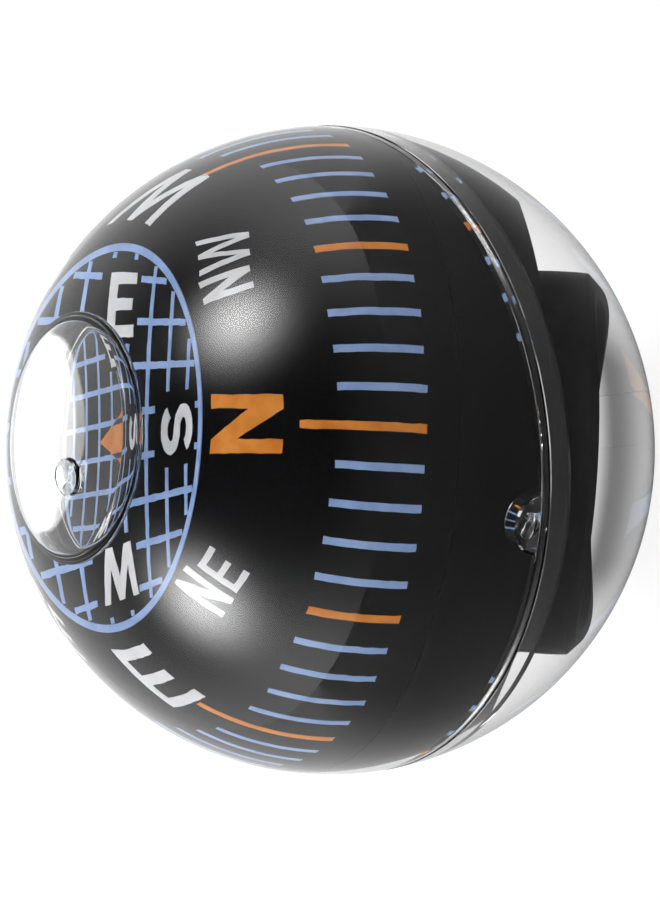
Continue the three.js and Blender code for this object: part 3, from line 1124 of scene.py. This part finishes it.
def build_emblem():
    grid = bmesh.new()
    add_ring(grid)
    add_grid(grid)
    ink_object(grid, "emblem_grid", "blue", "print_blue")
    white = bmesh.new()
    for outline, x, y, turn in FLAT_LETTERS:
        add_ink(white, outline, on_flat(x, y, turn))
    ink_object(white, "emblem_letters", "white", "print_white")
    pointer = bmesh.new()
    add_ink(pointer, POINTER, on_flat(0, 0, 0))
    ink_object(pointer, "emblem_pointer", "orange", "print_orange")


# Lamps: bearing, elevation, spread and strength of each soft light
LAMPS = (
    (-33, 43, 8.5, 16.5),
    (-180, 40, 9.0, 17.5),
    (-178, 8, 20.0, 1.9),
    (-8, 6, 20.0, 1.5),
)

# Oval soft box behind the ball: bearing, elevation, half width, half height and strength
SOFTBOX = (84, 35, 0.26, 0.41, 5.0)
SOFTBOX_EDGE = (0.92, 1.08)
SOFTBOX_AHEAD = (0.0, 0.1, 0.0, 1.0)

# Light that has crossed more surfaces than this misses the soft box, as under the bubble in the photo
SOFTBOX_CROSSINGS = 4.5

# Soft bands, each from one value to another with the brightness at both ends: the room away from the camera,
# the light near the horizon, and the shade that glass shows, by its foot, its top and its sides
AWAY_BAND = (-0.1, 0.6, 0.04, 0.88)
HORIZON_BAND = (0.0, 0.4, 0.16, 0.0)
SHADE_FOOT = (0.28, 0.45, 0.0, 1.0)
SHADE_TOP = (0.45, 0.85, 0.8, 0.1)
SHADE_SIDES = (0.25, 0.5, 1.0, 0.0)

# Floor: its glow seen straight or through glass, and the glow that mirrors see of it behind the ball
FLOOR_SIZE = 2000
FLOOR_GREY = (0.14, 0.14, 0.14, 1)
FLOOR_ROUGHNESS = 0.7
FLOOR_GLOW = 0.86
MIRRORED_GLOW = 0.72
MIRRORED_DARK_TO = -20.0
MIRRORED_BRIGHT_FROM = 58.0


# Studio
def feed(tree, socket, value):
    """Gives a socket a number or another node's output."""
    if isinstance(value, (int, float)):
        socket.default_value = value
    else:
        tree.links.new(value, socket)


def combine(tree, operation, one, two=0.0):
    node = tree.nodes.new("ShaderNodeMath")
    node.operation = operation
    feed(tree, node.inputs[0], one)
    feed(tree, node.inputs[1], two)
    return node.outputs["Value"]


def choose(tree, factor, low, high):
    mix = tree.nodes.new("ShaderNodeMix")
    mix.data_type = "FLOAT"
    feed(tree, mix.inputs[0], factor)
    feed(tree, mix.inputs[2], low)
    feed(tree, mix.inputs[3], high)
    return mix.outputs[0]


def band(tree, value, start, stop, low, high):
    mapped = tree.nodes.new("ShaderNodeMapRange")
    mapped.interpolation_type = "SMOOTHSTEP"
    mapped.inputs["From Min"].default_value = start
    mapped.inputs["From Max"].default_value = stop
    mapped.inputs["To Min"].default_value = low
    mapped.inputs["To Max"].default_value = high
    tree.links.new(value, mapped.inputs["Value"])
    return mapped.outputs["Result"]


def reaching(tree, vector, direction):
    """How far a vector reaches along a fixed direction."""
    dot = tree.nodes.new("ShaderNodeVectorMath")
    dot.operation = "DOT_PRODUCT"
    dot.inputs[1].default_value = direction.normalized()
    tree.links.new(vector, dot.inputs[0])
    return dot.outputs["Value"]


def bounced(tree, paths):
    """One for rays that came off a mirror or a dull surface, nought for those straight or through glass."""
    depth = combine(tree, "ADD", paths.outputs["Glossy Depth"], paths.outputs["Diffuse Depth"])
    return combine(tree, "GREATER_THAN", depth, HALF)


def lobe(tree, view, bearing, elevation, spread, strength):
    """A round lamp that fades outwards by its spread in degrees."""
    falloff = combine(tree, "SUBTRACT", reaching(tree, view, aim(bearing, elevation)), 1.0)
    falloff = combine(tree, "DIVIDE", falloff, (spread * DEG) ** 2)
    return combine(tree, "MULTIPLY", combine(tree, "EXPONENT", falloff), strength)


def panel(tree, view, bearing, elevation, half_width, half_height, strength):
    """An oval soft box of even brightness."""
    direction = aim(bearing, elevation)
    side = Z_AXIS.cross(direction)
    across = combine(tree, "DIVIDE", reaching(tree, view, side), half_width)
    along = combine(tree, "DIVIDE", reaching(tree, view, direction.cross(side)), half_height)
    across = combine(tree, "MULTIPLY", across, across)
    along = combine(tree, "MULTIPLY", along, along)
    oval = band(tree, combine(tree, "ADD", across, along), *SOFTBOX_EDGE, strength, 0.0)
    return combine(tree, "MULTIPLY", oval, band(tree, reaching(tree, view, direction), *SOFTBOX_AHEAD))


def add_room(tree, view, paths, toward):
    """What mirrors and dull surfaces see: the room, the soft box and the lamps."""
    room = band(tree, reaching(tree, view, -toward), *AWAY_BAND)
    room = combine(tree, "ADD", room, band(tree, reaching(tree, view, Z_AXIS), *HORIZON_BAND))
    near = combine(tree, "LESS_THAN", paths.outputs["Transmission Depth"], SOFTBOX_CROSSINGS)
    room = combine(tree, "ADD", room, combine(tree, "MULTIPLY", panel(tree, view, *SOFTBOX), near))
    for lamp in LAMPS:
        room = combine(tree, "ADD", room, lobe(tree, view, *lamp))
    return room


def add_backdrop(tree, view, paths, toward):
    """What the camera sees: white when it looks straight, and white with a shade in it through glass."""
    height = reaching(tree, view, Z_AXIS)
    sideways = combine(tree, "ABSOLUTE", reaching(tree, view, toward.cross(Z_AXIS)))
    shade = combine(tree, "MULTIPLY", band(tree, height, *SHADE_FOOT), band(tree, height, *SHADE_TOP))
    shade = combine(tree, "MULTIPLY", shade, band(tree, sideways, *SHADE_SIDES))
    through = combine(tree, "SUBTRACT", 1.0, shade)
    return choose(tree, paths.outputs["Is Camera Ray"], through, 1.0)


def add_world(toward):
    world = bpy.data.worlds.new("studio")
    world.use_nodes = True
    tree = world.node_tree
    view = tree.nodes.new("ShaderNodeTexCoord").outputs["Generated"]
    paths = tree.nodes.new("ShaderNodeLightPath")
    backdrop = add_backdrop(tree, view, paths, toward)
    room = add_room(tree, view, paths, toward)
    background = tree.nodes["Background"]
    background.inputs["Color"].default_value = WHITE
    tree.links.new(choose(tree, bounced(tree, paths), backdrop, room), background.inputs["Strength"])
    bpy.context.scene.world = world


def floor_material(toward):
    material, tree, shader = new_material("floor")
    shader.inputs["Base Color"].default_value = FLOOR_GREY
    shader.inputs["Roughness"].default_value = FLOOR_ROUGHNESS
    place = tree.nodes.new("ShaderNodeNewGeometry").outputs["Position"]
    paths = tree.nodes.new("ShaderNodeLightPath")
    away = reaching(tree, place, Vector((-toward.x, -toward.y, 0)))
    behind = band(tree, away, MIRRORED_DARK_TO * MM, MIRRORED_BRIGHT_FROM * MM, 0.0, MIRRORED_GLOW)
    glow = choose(tree, bounced(tree, paths), FLOOR_GLOW, behind)
    shader.inputs["Emission Color"].default_value = WHITE
    tree.links.new(glow, shader.inputs["Emission Strength"])
    return material


def add_floor(toward):
    mesh = bmesh.new()
    bmesh.ops.create_grid(mesh, x_segments=1, y_segments=1, size=FLOOR_SIZE)
    for v in mesh.verts:
        v.co.z = -BALL_RADIUS - GATE_HEIGHT
    LOOKS["floor"] = floor_material(toward)
    floor = to_object(mesh, "floor", ("floor",))


CASE_PIECES = (build_dome, build_plug, build_seal, build_bowl, build_post, build_needle)
BEARING_PIECES = (build_jewel, build_bush)
DIAL_PIECES = (build_hub, build_magnet, build_float, build_cap, build_skirt, build_bubble)
PRINT_PIECES = (build_ticks, build_side_letters, build_emblem)

toward_camera = add_camera()
for build in CASE_PIECES + BEARING_PIECES + DIAL_PIECES + PRINT_PIECES:
    build()
add_world(toward_camera)
add_floor(toward_camera)
bpy.context.scene.view_settings.view_transform = "Standard"
